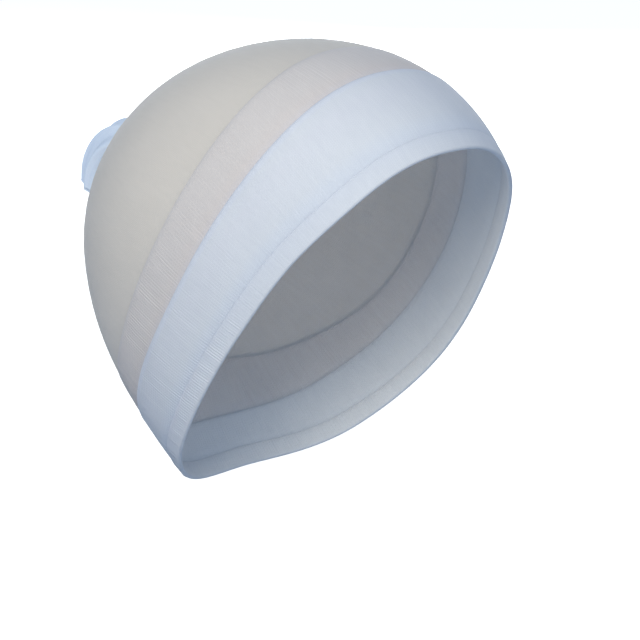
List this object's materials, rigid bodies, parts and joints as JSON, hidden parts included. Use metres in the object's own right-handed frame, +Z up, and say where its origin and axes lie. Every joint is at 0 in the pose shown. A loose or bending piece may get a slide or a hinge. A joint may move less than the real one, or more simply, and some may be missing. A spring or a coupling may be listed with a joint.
{
  "type": "wig cap",
  "caption": "Stocking-style cap of fine stretch knit that lies smooth on the head under a wig, with a doubled edge band and a tied, frilled toe at the back",
  "frame": {"origin": "the top of the wearer's head, where the inside of the crown rests", "axes": "+Z up, -Y the way the wearer faces, +X to the wearer's left"},
  "size_m": [0.1562, 0.2139, 0.1838],
  "materials": {
    "hem_knit": "folded edge of the doubled welt, fine ribbed nylon knit, matt",
    "welt_knit": "doubled, close nylon knit, cool white, matt",
    "shadow_knit": "single nylon knit of close stitches, part sheer, soft sheen",
    "sheer_knit": "sheer stretched nylon knit, soft sheen",
    "thread": "white sewing thread, satin",
    "frill_knit": "bunched, unstretched nylon knit, pale blue-white, matt"
  },
  "bodies": {
    "root": {"rim_hem": "hem_knit", "welt_band": "welt_knit", "shadow_band": "shadow_knit", "crown": "sheer_knit", "toe_tie": "thread", "toe_frill": "frill_knit"}
  },
  "joints": []
}
